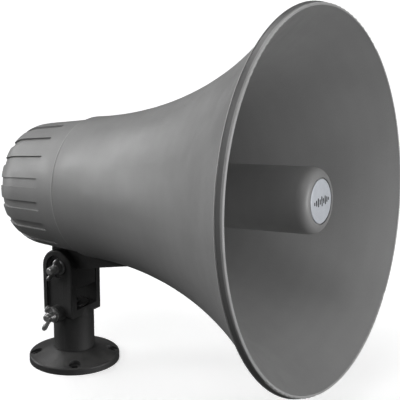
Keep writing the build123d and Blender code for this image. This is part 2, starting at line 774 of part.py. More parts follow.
# ---- Saddle: the arm under the horn that carries the tilt tongue -------------------------------
def horn_envelope():
    """The bell and the cover as one closed solid, a hair larger, for cutting the saddle to fit."""
    gap = 0.03
    cover_gap = 0.5
    front = 150.0
    outer = flare_curve(THROAT_RADIUS + gap, BELL_REAR, front)
    rest = Polyline(
        (front, flare(front, THROAT_RADIUS + gap)),
        (front, 0),
        (COVER_REAR - 5, 0),
        (COVER_REAR - 5, cover_radius(COVER_REAR - 5) + cover_gap),
        (BELL_REAR - cover_gap, cover_radius(BELL_REAR) + cover_gap),
        (BELL_REAR - cover_gap, flare(BELL_REAR, THROAT_RADIUS + gap)),
        (BELL_REAR, flare(BELL_REAR, THROAT_RADIUS + gap)),
    )
    return placed(turned(outer, rest))


def saddle():
    """Arm shaped to the horn's underside, with a square tongue that hangs between the fork's ears."""
    top = 120.0
    slope = math.tan(math.radians(SADDLE_SLOPE))
    outline = make_face(Polyline(
        (SADDLE_REAR, TONGUE_BOTTOM),
        (TONGUE_FRONT, TONGUE_BOTTOM),
        (TONGUE_FRONT, SADDLE_UNDERSIDE + (TONGUE_FRONT - FORK_X) * slope),
        (SADDLE_TIP, SADDLE_UNDERSIDE + (SADDLE_TIP - FORK_X) * slope),
        (SADDLE_TIP, top),
        (SADDLE_REAR, top),
        close=True,
    ))
    outline = fillet(outline.vertices().group_by(Axis.Y)[0], TONGUE_CORNER)
    body = extrude(Plane.XZ * outline, SADDLE_HALF_WIDTH, both=True)
    bore = across(FORK_X, 0, PIVOT_Z) * Cylinder(M6 + RUNNING_CLEARANCE, 4 * SADDLE_HALF_WIDTH)
    body = body - horn_envelope() - bore
    for station, y in saddle_screw_places():
        depth = saddle_screw_length()
        hole = Pos(station, y, saddle_screw_seat(station) - depth / 2) * Cylinder(M4 + HOLE_CLEARANCE, depth)
        body -= placed(hole)
    return body


def saddle_screw_length():
    return 8.0


def saddle_screws():
    """Driven from inside the bell into the saddle."""
    length = saddle_screw_length() - 0.2
    return group([Pos(station, y, saddle_screw_seat(station)) * screw(M4, length)
                  for station, y in saddle_screw_places()])


# ---- Swivel fork and its fasteners -------------------------------------------------------------
STUD_TIP = PILOT_RADIUS + AXIAL_GAP
STUD_END = 34.8
BOLT_END = 29.6
FRICTION_WASHER_THICK = EAR_INNER - SADDLE_HALF_WIDTH - AXIAL_GAP


def ear_outline(margin=0.0, bottom=BLOCK_BOTTOM):
    """Round-topped ear in the XZ plane, inset by margin."""
    radius = EAR_RADIUS - margin
    height = PIVOT_Z - bottom
    straight = Pos(FORK_X, bottom + height / 2) * Rectangle(2 * radius, height)
    return straight + Pos(FORK_X, PIVOT_Z) * Circle(radius)


def upright(radius, bottom, top):
    """Cylinder on the swivel axis between two heights."""
    return Pos(0, 0, (bottom + top) / 2) * Cylinder(radius, top - bottom)


def swivel_fork():
    """Clevis on a post that turns on the base's spigot."""
    body = extrude(Plane.XZ * ear_outline(), EAR_OUTER, both=True)
    rear_edge = body.edges().filter_by(Axis.Y).group_by(Axis.Z)[0].sort_by(Axis.X)[0]
    body = fillet(rear_edge, REAR_CORNER)
    faces = body.faces().sort_by(Axis.Y)
    body = fillet(faces[0].edges() + faces[-1].edges(), EAR_ROUNDING)
    beyond = EAR_RADIUS + 1
    gap = block((FORK_X - beyond, -EAR_INNER, WEB_TOP), (FORK_X + beyond, EAR_INNER, PIVOT_Z + beyond))
    post = upright(POST_RADIUS, POST_FOOT, BLEND_BOTTOM)
    post = chamfer(post.edges().sort_by(Axis.Z)[0], 0.4)
    blend_height = WEB_TOP - BLEND_BOTTOM
    blend = Pos(0, 0, BLEND_BOTTOM + blend_height / 2) * Cone(POST_RADIUS, EAR_RADIUS - 2, blend_height)
    boss_depth = LOCK_BOSS_FACE - PILOT_RADIUS
    boss = across(FORK_X, -LOCK_BOSS_FACE + boss_depth / 2, LOCK_Z) * Cylinder(LOCK_BOSS_RADIUS, boss_depth)
    boss = boss & block((-FLANGE_RADIUS, -FLANGE_RADIUS, 0), (FLANGE_RADIUS, -EAR_INNER, PIVOT_Z))
    boss = chamfer(boss.edges().sort_by(Axis.Y)[0], 0.6)
    floor = EAR_OUTER - PANEL_DEPTH
    panel = extrude(Plane.XZ * ear_outline(PANEL_MARGIN, BLOCK_BOTTOM - 10), PANEL_DEPTH)
    panels = [Pos(0, -floor, 0) * panel, Pos(0, EAR_OUTER, 0) * panel]
    pivot_hole = across(FORK_X, 0, PIVOT_Z) * Cylinder(M6 + HOLE_CLEARANCE, 3 * EAR_OUTER)
    pocket = across(FORK_X, -EAR_OUTER, PIVOT_Z) * Cylinder(POCKET_RADIUS, 2 * POCKET_DEPTH)
    stud_hole = across(FORK_X, -LOCK_BOSS_FACE / 2, LOCK_Z) * Cylinder(M6 + HOLE_CLEARANCE, LOCK_BOSS_FACE)
    socket = upright(SPIGOT_RADIUS + RUNNING_CLEARANCE, POST_FOOT, SPIGOT_SHOULDER + AXIAL_GAP)
    pilot_hole = upright(PILOT_RADIUS + RUNNING_CLEARANCE, POST_FOOT, WEB_TOP)
    cuts = [stud_hole, socket, pilot_hole, pivot_hole, pocket, mirror(pocket, Plane.XZ)]
    return body - gap - panels + post + blend + boss - cuts


def wing_nut(kind):
    """Hub standing on Z = 0 with two dimpled wings that lean outwards."""
    height = 5.6
    root_radius = 4.8
    top_radius = 4.1
    wing_thick = 2.2
    lobe_radius = 3.2
    lobe_reach = 8.5
    lobe_height = 7.6
    dimple_radius = 1.7
    dimple_depth = 0.5
    hub = Pos(0, 0, height / 2) * Cone(root_radius, top_radius, height)
    root = Pos(3.0, 2.6) * Circle(2.0)
    lobe = Pos(lobe_reach, lobe_height) * Circle(lobe_radius)
    outline = make_hull((root + lobe).edges())
    wing = extrude(Plane.XZ * outline, wing_thick / 2, both=True)
    faces = wing.faces().sort_by(Axis.Y)
    wing = fillet(faces[0].edges() + faces[-1].edges(), 0.7)
    dimple_place = Pos(lobe_reach, wing_thick / 2, lobe_height) * Rot(90, 0, 0)
    dimple = dimple_place * Cylinder(dimple_radius, 2 * dimple_depth)
    wing = wing - dimple - mirror(dimple, Plane.XZ)
    nut = hub + wing + mirror(wing, Plane.YZ) - Cylinder(M6 + RUNNING_CLEARANCE, 4 * height)
    return Rot(0, 0, WING_ANGLES[kind]) * nut


def tilt_bolt():
    """Carriage bolt through both ears and the tongue."""
    head_seat = EAR_OUTER - POCKET_DEPTH + WASHER_THICK
    length = head_seat + BOLT_END
    shank = across(FORK_X, (head_seat - BOLT_END) / 2, PIVOT_Z) * Cylinder(M6, length)
    shank = chamfer(shank.edges().sort_by(Axis.Y)[0], 0.7)
    head = across(FORK_X, head_seat + 1.7, PIVOT_Z) * Cylinder(6.6, 3.4)
    head = fillet(head.edges().sort_by(Axis.Y)[-1], 2.8)
    return shank + head


def tilt_washers():
    """One washer under the bolt's head and one under the wing nut."""
    seat = EAR_OUTER - POCKET_DEPTH
    ring = washer(M6 + HOLE_CLEARANCE, 5.9)
    return group([across(FORK_X, -seat, PIVOT_Z) * ring,
                  across(FORK_X, seat + WASHER_THICK, PIVOT_Z) * ring])


def tilt_friction_washers():
    """Fibre washers between the ears and the tongue."""
    ring = washer(M6 + HOLE_CLEARANCE, 11.0, FRICTION_WASHER_THICK)
    return group([across(FORK_X, -EAR_INNER + FRICTION_WASHER_THICK, PIVOT_Z) * ring,
                  across(FORK_X, EAR_INNER, PIVOT_Z) * ring])


def tilt_wing_nut():
    seat = EAR_OUTER - POCKET_DEPTH + WASHER_THICK + AXIAL_GAP
    return across(FORK_X, -seat, PIVOT_Z) * wing_nut("tilt")


def pan_lock_stud():
    """Stud in the fork's boss whose tip runs in the spigot's groove."""
    stud = across(FORK_X, -(STUD_TIP + STUD_END) / 2, LOCK_Z) * Cylinder(M6, STUD_END - STUD_TIP)
    return chamfer(stud.edges().filter_by(GeomType.CIRCLE), 0.7)


def pan_lock_washer():
    return across(FORK_X, -LOCK_BOSS_FACE, LOCK_Z) * washer(M6 + HOLE_CLEARANCE, 6.1)


def pan_wing_nut():
    return across(FORK_X, -(LOCK_BOSS_FACE + WASHER_THICK + AXIAL_GAP), LOCK_Z) * wing_nut("pan")


# ---- Base --------------------------------------------------------------------------------------
def base():
    """Crowned round flange with the stepped spigot that the post turns on."""
    edge_rounding = 2.2
    crown_edge = FLANGE_EDGE + 1.8
    seat_radius = POST_RADIUS + 0.4
    sides = Polyline((0, 0), (FLANGE_RADIUS, 0), (FLANGE_RADIUS, FLANGE_EDGE))
    rounding = Bezier(
        (FLANGE_RADIUS, FLANGE_EDGE),
        (FLANGE_RADIUS, crown_edge),
        (FLANGE_RADIUS - edge_rounding, crown_edge),
    )
    inside = Polyline(
        (FLANGE_RADIUS - edge_rounding, crown_edge),
        (seat_radius, POST_FOOT - 0.3),
        (seat_radius, SPIGOT_SEAT),
        (SPIGOT_RADIUS, SPIGOT_SEAT),
        (SPIGOT_RADIUS, SPIGOT_SHOULDER),
        (PILOT_RADIUS, SPIGOT_SHOULDER),
        (PILOT_RADIUS, SPIGOT_TOP),
        (0, SPIGOT_TOP),
        (0, 0),
    )
    edges = [edge for curve in (sides, rounding, inside) for edge in curve.edges()]
    body = revolve(Plane.XZ * make_face(edges), Axis.Z)
    counterbore_seat = FLANGE_EDGE + 0.6
    for index in range(4):
        angle = math.radians(BASE_HOLE_TURN + 90 * index)
        x = BASE_HOLE_CIRCLE * math.cos(angle)
        y = BASE_HOLE_CIRCLE * math.sin(angle)
        body -= Pos(x, y, 0) * Cylinder(BASE_HOLE_RADIUS, 30)
        body -= Pos(x, y, counterbore_seat + 5) * Cylinder(5.0, 10)
    return body - upright(M5, SPIGOT_TOP - CAP_SCREW_LENGTH - 1, SPIGOT_TOP)


def swivel_washer():
    """Nylon ring under the foot of the post."""
    return Pos(0, 0, SPIGOT_SEAT) * washer(SPIGOT_RADIUS + RUNNING_CLEARANCE, POST_RADIUS - 0.2, 0.7)


def swivel_cap_washer():
    """Plate on the spigot's end that keeps the fork from lifting off."""
    return Pos(0, 0, SPIGOT_TOP) * washer(M5 + HOLE_CLEARANCE, EAR_INNER - 0.5)


def swivel_cap_screw():
    return Pos(0, 0, SPIGOT_TOP + WASHER_THICK) * screw(M5 - RUNNING_CLEARANCE, CAP_SCREW_LENGTH)


# ---- Export ------------------------------------------------------------------------------------
HORN_FRAME_NODES = [
    horn_bell, tone_tube, tone_tube_screws, tube_spider, reflector, nose_screw, nose_nut, badge,
    rear_cover, cover_seal, cover_screws, driver_gasket, throat_plate, phase_plug, diaphragm, voice_coil,
    diaphragm_clamp_ring, top_plate, magnet, magnet_yoke, driver_screws, driver_terminals,
    transformer_core, transformer_winding, transformer_clamps, transformer_screws, tap_switch,
    tap_selector_knob, terminal_block, terminal_screws, cable_gland_body, cable_gland_nut,
    cable_gland_seal, cable_gland_locknut, speaker_leads, saddle_screws,
]
ROW_FRAME_NODES = [
    base, swivel_washer, swivel_cap_washer, swivel_cap_screw, swivel_fork, pan_lock_stud, pan_lock_washer,
    pan_wing_nut, tilt_bolt, tilt_washers, tilt_friction_washers, tilt_wing_nut, saddle,
]


def build_all():
    shapes = {make.__name__: placed(make()) for make in HORN_FRAME_NODES}
    shapes.update({make.__name__: make() for make in ROW_FRAME_NODES})
    return shapes


os.makedirs("parts", exist_ok=True)
for node, shape in build_all().items():
    export_step(shape, f"parts/{node}.step")
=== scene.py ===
import json
import math
import bpy
import bmesh
from mathutils import Matrix, Vector


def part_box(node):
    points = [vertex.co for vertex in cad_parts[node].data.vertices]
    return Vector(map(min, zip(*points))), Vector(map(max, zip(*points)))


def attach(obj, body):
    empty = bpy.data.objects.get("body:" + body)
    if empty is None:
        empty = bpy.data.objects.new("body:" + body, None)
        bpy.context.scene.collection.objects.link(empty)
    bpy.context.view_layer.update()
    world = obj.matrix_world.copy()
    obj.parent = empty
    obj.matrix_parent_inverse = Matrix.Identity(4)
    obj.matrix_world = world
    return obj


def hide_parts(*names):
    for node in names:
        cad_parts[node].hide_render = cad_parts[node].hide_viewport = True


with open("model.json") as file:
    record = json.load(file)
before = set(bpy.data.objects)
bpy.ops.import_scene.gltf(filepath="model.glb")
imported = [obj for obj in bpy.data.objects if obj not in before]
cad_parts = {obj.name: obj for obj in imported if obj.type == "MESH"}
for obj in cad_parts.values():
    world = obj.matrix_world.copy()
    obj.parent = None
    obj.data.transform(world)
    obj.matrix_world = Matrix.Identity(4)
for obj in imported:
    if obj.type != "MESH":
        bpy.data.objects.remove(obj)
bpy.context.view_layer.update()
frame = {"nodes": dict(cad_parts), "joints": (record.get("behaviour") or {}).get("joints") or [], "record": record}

record = frame["record"]
joints = {joint["name"]: joint for joint in frame["joints"]}
MM = 0.001

# ---- Camera ------------------------------------------------------------------------------------
CAMERA_PLACE = Vector((0.5359, -0.6349, 0.3525))
CAMERA_BACK = Vector((0.5235, -0.8154, 0.2472)).normalized()
CAMERA_ROLL = math.radians(0.49)
CAMERA_LENS = 91.42
SENSOR_WIDTH = 36.0


def make_camera():
    data = bpy.data.cameras.new("camera")
    data.lens = CAMERA_LENS
    data.sensor_width = SENSOR_WIDTH
    camera = bpy.data.objects.new("camera", data)
    bpy.context.scene.collection.objects.link(camera)
    camera.rotation_mode = "QUATERNION"
    upright = (-CAMERA_BACK).to_track_quat("-Z", "Y")
    camera.location = CAMERA_PLACE
    camera.rotation_quaternion = upright @ Matrix.Rotation(CAMERA_ROLL, 3, "Z").to_quaternion()
    bpy.context.scene.camera = camera


# ---- Studio ------------------------------------------------------------------------------------
ROOM_LIGHT = 0.035
LIGHT_SPREAD = math.radians(25)
SOFT_LIGHTS = [
    # azimuth, elevation, strength
    (0, 5, 1.25),
    (20, 5, 0.92),
    (205, 5, 0.60),
    (180, 28, 0.55),
    (210, 28, 1.00),
    (150, 55, 0.74),
    (270, 55, 0.62),
    (300, 55, 0.25),
    (325, -40, 0.10),
]
FLOOR_TONE = 0.65
FLOOR_GLOW = 0.60
WALL_TONE = 0.0
WALL_GLOW = 0.95
STAGE_HALF = 12
STAGE_HEIGHT = 12


def direction_of(azimuth, elevation):
    level = math.cos(math.radians(elevation))
    turn = math.radians(azimuth)
    return Vector((level * math.cos(turn), level * math.sin(turn), math.sin(math.radians(elevation))))


def make_lights():
    """Broad distant lights: low ones into the mouth, others from behind and above, a faint one from below."""
    world = bpy.data.worlds.new("studio")
    bpy.context.scene.world = world
    world.use_nodes = True
    room = world.node_tree.nodes["Background"]
    room.inputs["Color"].default_value = (1, 1, 1, 1)
    room.inputs["Strength"].default_value = ROOM_LIGHT
    for azimuth, elevation, strength in SOFT_LIGHTS:
        data = bpy.data.lights.new("soft_light", "SUN")
        data.angle = LIGHT_SPREAD
        data.energy = strength
        light = bpy.data.objects.new("soft_light", data)
        light.rotation_euler = direction_of(azimuth, elevation).to_track_quat("Z", "Y").to_euler()
        bpy.context.scene.collection.objects.link(light)
    bpy.context.scene.view_settings.view_transform = "Standard"


def stage_material(name, base, glow):
    material = bpy.data.materials.new(name)
    material.use_nodes = True
    shader = material.node_tree.nodes["Principled BSDF"]
    shader.inputs["Base Color"].default_value = (base, base, base, 1)
    shader.inputs["Roughness"].default_value = 0.9
    shader.inputs["Emission Color"].default_value = (1, 1, 1, 1)
    shader.inputs["Emission Strength"].default_value = glow
    return material


def make_stage_object(name, mesh, material):
    """Part of the stage, which throws no light back onto the object."""
    mesh.materials.append(material)
    piece = bpy.data.objects.new(name, mesh)
    bpy.context.scene.collection.objects.link(piece)
    piece.visible_diffuse = False
    piece.visible_glossy = False
    piece.visible_shadow = False
    return piece


def make_stage():
    """Pale floor, and a pale box far outside it: four walls and a ceiling."""
    half = STAGE_HALF
    corners = [(-half, -half), (half, -half), (half, half), (-half, half)]
    floor = bpy.data.meshes.new("floor")
    floor.from_pydata([(x, y, 0) for x, y in corners], [], [(0, 1, 2, 3)])
    make_stage_object("floor", floor, stage_material("floor", FLOOR_TONE, FLOOR_GLOW))
    walls = bpy.data.meshes.new("backdrop")
    points = [(x, y, z) for z in (0, STAGE_HEIGHT) for x, y in corners]
    sides = [(k, (k + 1) % 4, (k + 1) % 4 + 4, k + 4) for k in range(4)]
    ceiling = (4, 5, 6, 7)
    walls.from_pydata(points, [], sides + [ceiling])
    make_stage_object("backdrop", walls, stage_material("backdrop", WALL_TONE, WALL_GLOW))


# ---- Material building blocks ------------------------------------------------------------------
# Cosine between the rounded and the true normal, on an open face and on a sharp edge
FACE_AGREEMENT = 0.995
EDGE_AGREEMENT = 0.80


class Surface:
    """One procedural material, built up around its Principled shader."""

    def __init__(self, slot):
        self.material = bpy.data.materials.new(slot)
        self.material.use_nodes = True
        self.tree = self.material.node_tree
        self.shader = self.tree.nodes["Principled BSDF"]
        self.place = self.add("ShaderNodeTexCoord").outputs["Object"]
        self.normal = None

    def add(self, kind, inputs=None, **settings):
        node = self.tree.nodes.new(kind)
        for name, value in settings.items():
            setattr(node, name, value)
        for name, value in (inputs or {}).items():
            self.feed(node.inputs[name], value)
        return node

    def feed(self, socket, value):
        if isinstance(value, bpy.types.NodeSocket):
            self.tree.links.new(value, socket)
        else:
            socket.default_value = value

    def noise(self, scale, detail=3.0, stretch=(1, 1, 1), turn=(0, 0, 0)):
        """Cloudy value from 0 to 1 with about scale features per metre."""
        turn = tuple(math.radians(angle) for angle in turn)
        mapped = self.add("ShaderNodeMapping", {"Vector": self.place, "Rotation": turn, "Scale": stretch})
        inputs = {"Vector": mapped.outputs["Vector"], "Scale": scale, "Detail": detail}
        return self.add("ShaderNodeTexNoise", inputs).outputs["Fac"]

    def calculate(self, operation, first, second=0.0):
        node = self.add("ShaderNodeMath", operation=operation)
        self.feed(node.inputs[0], first)
        self.feed(node.inputs[1], second)
        return node.outputs["Value"]

    def spread(self, value, start, end, low=0.0, high=1.0):
        """value from start to end, drawn out smoothly to low and high."""
        inputs = {"Value": value, "From Min": start, "From Max": end, "To Min": low, "To Max": high}
        node = self.add("ShaderNodeMapRange", inputs, interpolation_type="SMOOTHSTEP")
        return node.outputs["Result"]

    def blend(self, factor, first, second):
        """first where factor is 0, and second where it is 1."""
        node = self.add("ShaderNodeMix", data_type="RGBA")
        self.feed(node.inputs["Factor"], factor)
        self.feed(node.inputs["A"], opaque(first))
        self.feed(node.inputs["B"], opaque(second))
        return node.outputs["Result"]

    def offset_from(self, origin):
        """Vector from origin to the shaded point."""
        node = self.add("ShaderNodeVectorMath", operation="SUBTRACT")
        self.feed(node.inputs[0], self.place)
        self.feed(node.inputs[1], origin)
        return node.outputs["Vector"]

    def along(self, direction, origin=(0, 0, 0)):
        """Distance in metres from origin along a direction."""
        offset = self.offset_from(origin)
        node = self.add("ShaderNodeVectorMath", operation="DOT_PRODUCT")
        self.feed(node.inputs[0], offset)
        self.feed(node.inputs[1], direction)
        return node.outputs["Value"]

    def radius_from(self, direction, origin):
        """Distance in metres from the line through origin along a direction."""
        offset = self.offset_from(origin)
        cross = self.add("ShaderNodeVectorMath", operation="CROSS_PRODUCT")
        self.feed(cross.inputs[0], offset)
        self.feed(cross.inputs[1], direction)
        length = self.add("ShaderNodeVectorMath", operation="LENGTH")
        self.feed(length.inputs[0], cross.outputs["Vector"])
        return length.outputs["Value"]

    def line(self, distance, middle, half_width):
        """1 where distance equals middle, fading to 0 at half_width from it."""
        away = self.calculate("ABSOLUTE", self.calculate("SUBTRACT", distance, middle))
        return self.spread(away, half_width, 0.0)

    def edges(self, radius):
        """Near 1 along the edges of a shape, and 0 on its open faces."""
        bevel = self.add("ShaderNodeBevel", {"Radius": radius}, samples=4)
        true_normal = self.add("ShaderNodeNewGeometry").outputs["Normal"]
        node = self.add("ShaderNodeVectorMath", operation="DOT_PRODUCT")
        self.feed(node.inputs[0], bevel.outputs["Normal"])
        self.feed(node.inputs[1], true_normal)
        return self.spread(node.outputs["Value"], FACE_AGREEMENT, EDGE_AGREEMENT)

    def settled_dust(self, amount):
        """Up to amount where faces look up, broken up by patches."""
        normal = self.add("ShaderNodeNewGeometry").outputs["Normal"]
        up = self.add("ShaderNodeSeparateXYZ", {"Vector": normal}).outputs["Z"]
        patches = self.spread(self.noise(45, 5), 0.42, 0.72)
        return self.calculate("MULTIPLY", self.spread(up, 0.35, 1.0, 0.0, amount), patches)

    def relief(self, height, depth):
        """Raises the surface by depth metres where height is 1."""
        inputs = {"Height": height, "Distance": depth, "Strength": 1.0}
        if self.normal:
            inputs["Normal"] = self.normal
        self.normal = self.add("ShaderNodeBump", inputs).outputs["Normal"]

    def finish(self, colour, roughness, metallic=0.0, specular=0.5):
        self.feed(self.shader.inputs["Base Color"], colour)
        self.feed(self.shader.inputs["Roughness"], roughness)
        self.shader.inputs["Metallic"].default_value = metallic
        self.shader.inputs["Specular IOR Level"].default_value = specular
        if self.normal:
            self.feed(self.shader.inputs["Normal"], self.normal)
        return self.material


def opaque(colour):
    if isinstance(colour, bpy.types.NodeSocket):
        return colour
    return (*colour, 1.0)


def grey(level, warmth=0.0):
    return (level * (1 + warmth), level, level * (1 - warmth))


# ---- Horn frame --------------------------------------------------------------------------------
HORN_AXIS = Vector(joints["diaphragm_travel"]["axis"]).normalized()


def middle_of(node):
    low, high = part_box(node)
    return (low + high) / 2


def horn_frame():
    """Matrix from (station, left, up) on the horn's axis, in metres, to the row frame."""
    magnet = middle_of("magnet")
    centre = magnet - HORN_AXIS * (magnet.x / HORN_AXIS.x)
    left = Vector((0, 1, 0))
    columns = Matrix((HORN_AXIS, left, HORN_AXIS.cross(left))).transposed()
    return Matrix.Translation(centre) @ columns.to_4x4()


HORN = horn_frame()


# ---- Moulded plastics --------------------------------------------------------------------------
# Radians per metre, which puts the flow rings 12 mm apart
FLOW_RINGS = 520.0
# The rim band, darkened with painted shade, in mm: its middle and half width along the horn's axis, and its least
# radius
RIM_BAND_MIDDLE = 231.4
RIM_BAND_HALF = 2.6
RIM_BAND_RADIUS = 138.2
BAND_FADE = 0.6
# The bracket's parting line, in mm along X
PARTING_X = 3.4
PARTING_HALF = 0.25
# The fork's gap, darkened with painted shade, in mm: between the ears, over the web and under the saddle's tongue
GAP_HALF = 13.15
GAP_BOTTOM = 50.3
GAP_TOP = 67.6
GAP_SIDE_FADE = 0.2
GAP_END_FADE = 0.3


def moulded(surface, base, light, worn, roughness, peel):
    """Colour, roughness and relief shared by the injection mouldings; peel is the depth of its waviness."""
    cloud = surface.spread(surface.noise(22, 5), 0.30, 0.70)
    speckle = surface.spread(surface.noise(2400, 2), 0.35, 0.65)
    colour = surface.blend(cloud, base, light)
    colour = surface.blend(surface.calculate("MULTIPLY", speckle, 0.22), colour, worn)
    patchy = surface.spread(surface.noise(160, 4), 0.35, 0.60)
    wear = surface.calculate("MULTIPLY", surface.edges(0.7 * MM), patchy)
    colour = surface.blend(surface.calculate("MULTIPLY", wear, 0.55), colour, worn)
    colour = surface.blend(surface.settled_dust(0.10), colour, grey(0.30, 0.03))
    surface.relief(surface.noise(2600, 2), 0.030 * MM)
    surface.relief(surface.noise(150, 2), peel)
    scuffs = surface.spread(surface.noise(70, 6, (1, 1, 14), (20, 35, 0)), 0.60, 0.72)
    gloss = surface.spread(surface.noise(60, 4), 0.3, 0.7, roughness - 0.05, roughness + 0.06)
    return colour, surface.calculate("ADD", gloss, surface.calculate("MULTIPLY", scuffs, 0.08))


HIGHLIGHT_RINGS = [
    # station, half width and least radius, in mm, of edges given pale painted highlights
    (27.9, 0.8, 56.0),
    (229.4, 0.6, 139.9),
    (235.0, 0.9, 137.2),
]
HIGHLIGHT_RING_FADE = 0.2


def bell_plastic(surface):
    """Satin grey ABS: faint flow rings along the bell, painted shade on the rim band, and thin painted highlights
    along the seam, the rim bead and the lip.
    """
    station = surface.along(HORN_AXIS, HORN.translation)
    wander = surface.calculate("MULTIPLY", surface.noise(14, 3), 0.012)
    waves = surface.calculate("MULTIPLY", surface.calculate("ADD", station, wander), FLOW_RINGS)
    rings = surface.spread(surface.calculate("SINE", waves), -1.0, 1.0)
    colour, roughness = moulded(surface, grey(0.250), grey(0.276), grey(0.36), 0.40, 0.05 * MM)
    colour = surface.blend(surface.calculate("MULTIPLY", rings, 0.10), colour, grey(0.23))
    surface.relief(rings, 0.02 * MM)
    radius = surface.radius_from(HORN_AXIS, HORN.translation)
    outside = surface.spread(radius, RIM_BAND_RADIUS * MM, (RIM_BAND_RADIUS + BAND_FADE) * MM)
    band = surface.line(station, RIM_BAND_MIDDLE * MM, RIM_BAND_HALF * MM)
    band = surface.calculate("MULTIPLY", band, outside)
    # Painted shade: the rim band is darkened where it faces away from the lights.
    colour = surface.blend(surface.spread(band, 0.0, 0.35, 0.0, 0.75), colour, grey(0.10))
    for middle, half_width, least in HIGHLIGHT_RINGS:
        ring = surface.line(station, middle * MM, half_width * MM)
        outer = surface.spread(radius, (least - HIGHLIGHT_RING_FADE) * MM, least * MM)
        ring = surface.calculate("MULTIPLY", ring, outer)
        highlight_breakup = surface.spread(surface.noise(90, 3), 0.25, 0.5, 0.55, 0.95)
        # Painted highlights: pale thin lines along the seam, the rim bead's back edge and the mouth's lip.
        colour = surface.blend(surface.calculate("MULTIPLY", ring, highlight_breakup), colour, grey(0.50))
    return surface.finish(colour, roughness)


def bracket_plastic(surface):
    """Charcoal glass-filled nylon: dull, with pale fibre swirls, a mould parting line, and painted shade darkening
    the gap between the ears.
    """
    colour, roughness = moulded(surface, grey(0.027), grey(0.035), grey(0.09), 0.46, 0.10 * MM)
    fibres = surface.spread(surface.noise(800, 4, (1, 1, 5), (15, 40, 10)), 0.62, 0.74)
    colour = surface.blend(surface.calculate("MULTIPLY", fibres, 0.30), colour, grey(0.085))
    parting = surface.line(surface.along((1, 0, 0)), PARTING_X * MM, PARTING_HALF * MM)
    height = surface.along((0, 0, 1))
    off_centre = surface.calculate("ABSOLUTE", surface.along((0, 1, 0)))
    between_ears = surface.spread(off_centre, (GAP_HALF + GAP_SIDE_FADE) * MM, GAP_HALF * MM)
    above_web = surface.spread(height, GAP_BOTTOM * MM, (GAP_BOTTOM + GAP_END_FADE) * MM)
    below_tongue = surface.spread(height, (GAP_TOP + GAP_END_FADE) * MM, GAP_TOP * MM)
    in_gap = surface.calculate("MULTIPLY", above_web, below_tongue)
    # Painted shade: the gap between the ears, over the web and under the saddle's tongue, is darkened almost to
    # black.
    painted_gap_shade = surface.calculate("MULTIPLY", in_gap, between_ears)
    colour = surface.blend(surface.calculate("MULTIPLY", painted_gap_shade, 0.9), colour, grey(0.003))
    surface.relief(parting, 0.12 * MM)
    surface.relief(fibres, 0.015 * MM)
    return surface.finish(colour, roughness, specular=0.40)


def black_plastic(surface):
    colour, roughness = moulded(surface, grey(0.018), grey(0.024), grey(0.06), 0.42, 0.06 * MM)
    return surface.finish(colour, roughness, specular=0.45)


def nylon(surface):
    """Unfilled dark nylon, slightly waxy, rubbed smooth in rings."""
    cloud = surface.spread(surface.noise(90, 4), 0.3, 0.7)
    colour = surface.blend(cloud, grey(0.045), grey(0.065, 0.03))
    colour = surface.blend(surface.calculate("MULTIPLY", surface.edges(0.3 * MM), 0.4), colour, grey(0.14))
    surface.relief(surface.noise(1800, 3), 0.01 * MM)
    return surface.finish(colour, surface.spread(surface.noise(300, 3), 0.3, 0.7, 0.35, 0.52))


def rubber(surface):
    bloom = surface.spread(surface.noise(120, 5), 0.45, 0.75)
    colour = surface.blend(surface.calculate("MULTIPLY", bloom, 0.5), grey(0.012), grey(0.045, 0.03))
    surface.relief(surface.noise(2000, 4), 0.03 * MM)
    return surface.finish(colour, surface.spread(bloom, 0.0, 1.0, 0.72, 0.90), specular=0.3)


# ---- Metals and the materials of the driver ----------------------------------------------------
# Also in radians per metre: windings and sheets 0.5 mm apart, and threads of cloth 0.7 mm apart
FINE_LINES = 12500.0
CLOTH_THREADS = 9000.0


def metal(surface, dark, light, stain, roughness, brush, depth):
    """Plate or casting with cloudy tone, brushed grain, dull stains and polished edges."""
    cloud = surface.spread(surface.noise(130, 5), 0.30, 0.70)
    colour = surface.blend(cloud, dark, light)
    stains = surface.spread(surface.noise(420, 5), 0.56, 0.72)
    colour = surface.blend(surface.calculate("MULTIPLY", stains, 0.55), colour, stain)
    rubbed = surface.edges(0.35 * MM)
    colour = surface.blend(surface.calculate("MULTIPLY", rubbed, 0.5), colour, grey(0.82))
    grain = surface.noise(900, 3, brush)
    surface.relief(grain, depth)
    dull = surface.spread(stains, 0.0, 1.0, roughness, roughness + 0.25)
    return colour, surface.calculate("SUBTRACT", dull, surface.calculate("MULTIPLY", rubbed, 0.10))


def zinc_steel(surface):
    """Zinc plate gone a little dull, with a trace of blue."""
    colour, roughness = metal(
        surface, (0.36, 0.36, 0.355), (0.54, 0.545, 0.55), (0.14, 0.137, 0.13), 0.36, (1, 1, 6), 0.02 * MM)
    surface.relief(surface.noise(1400, 3), 0.04 * MM)
    return surface.finish(colour, roughness, metallic=0.8)


def black_steel(surface):
    """Oiled black oxide, rubbed grey at its edges; its near-black tone also stands in for painted shade on the
    parts in the fork's gap.
    """
    colour, roughness = metal(
        surface, grey(0.020), grey(0.032), (0.030, 0.020, 0.014), 0.42, (1, 1, 3), 0.01 * MM)
    return surface.finish(colour, roughness, metallic=0.7)


def badge_metal(surface):
    """Satin silver foil over a moulded disc, brushed across."""
    cloud = surface.spread(surface.noise(160, 4), 0.3, 0.7)
    strokes = surface.spread(surface.noise(700, 4, (1, 0.12, 6)), 0.35, 0.65)
    colour = surface.blend(cloud, (0.62, 0.65, 0.70), (0.67, 0.70, 0.75))
    colour = surface.blend(surface.calculate("MULTIPLY", strokes, 0.25), colour, (0.55, 0.57, 0.61))
    surface.relief(strokes, 0.004 * MM)
    return surface.finish(colour, surface.spread(strokes, 0.0, 1.0, 0.42, 0.55), metallic=0.15)


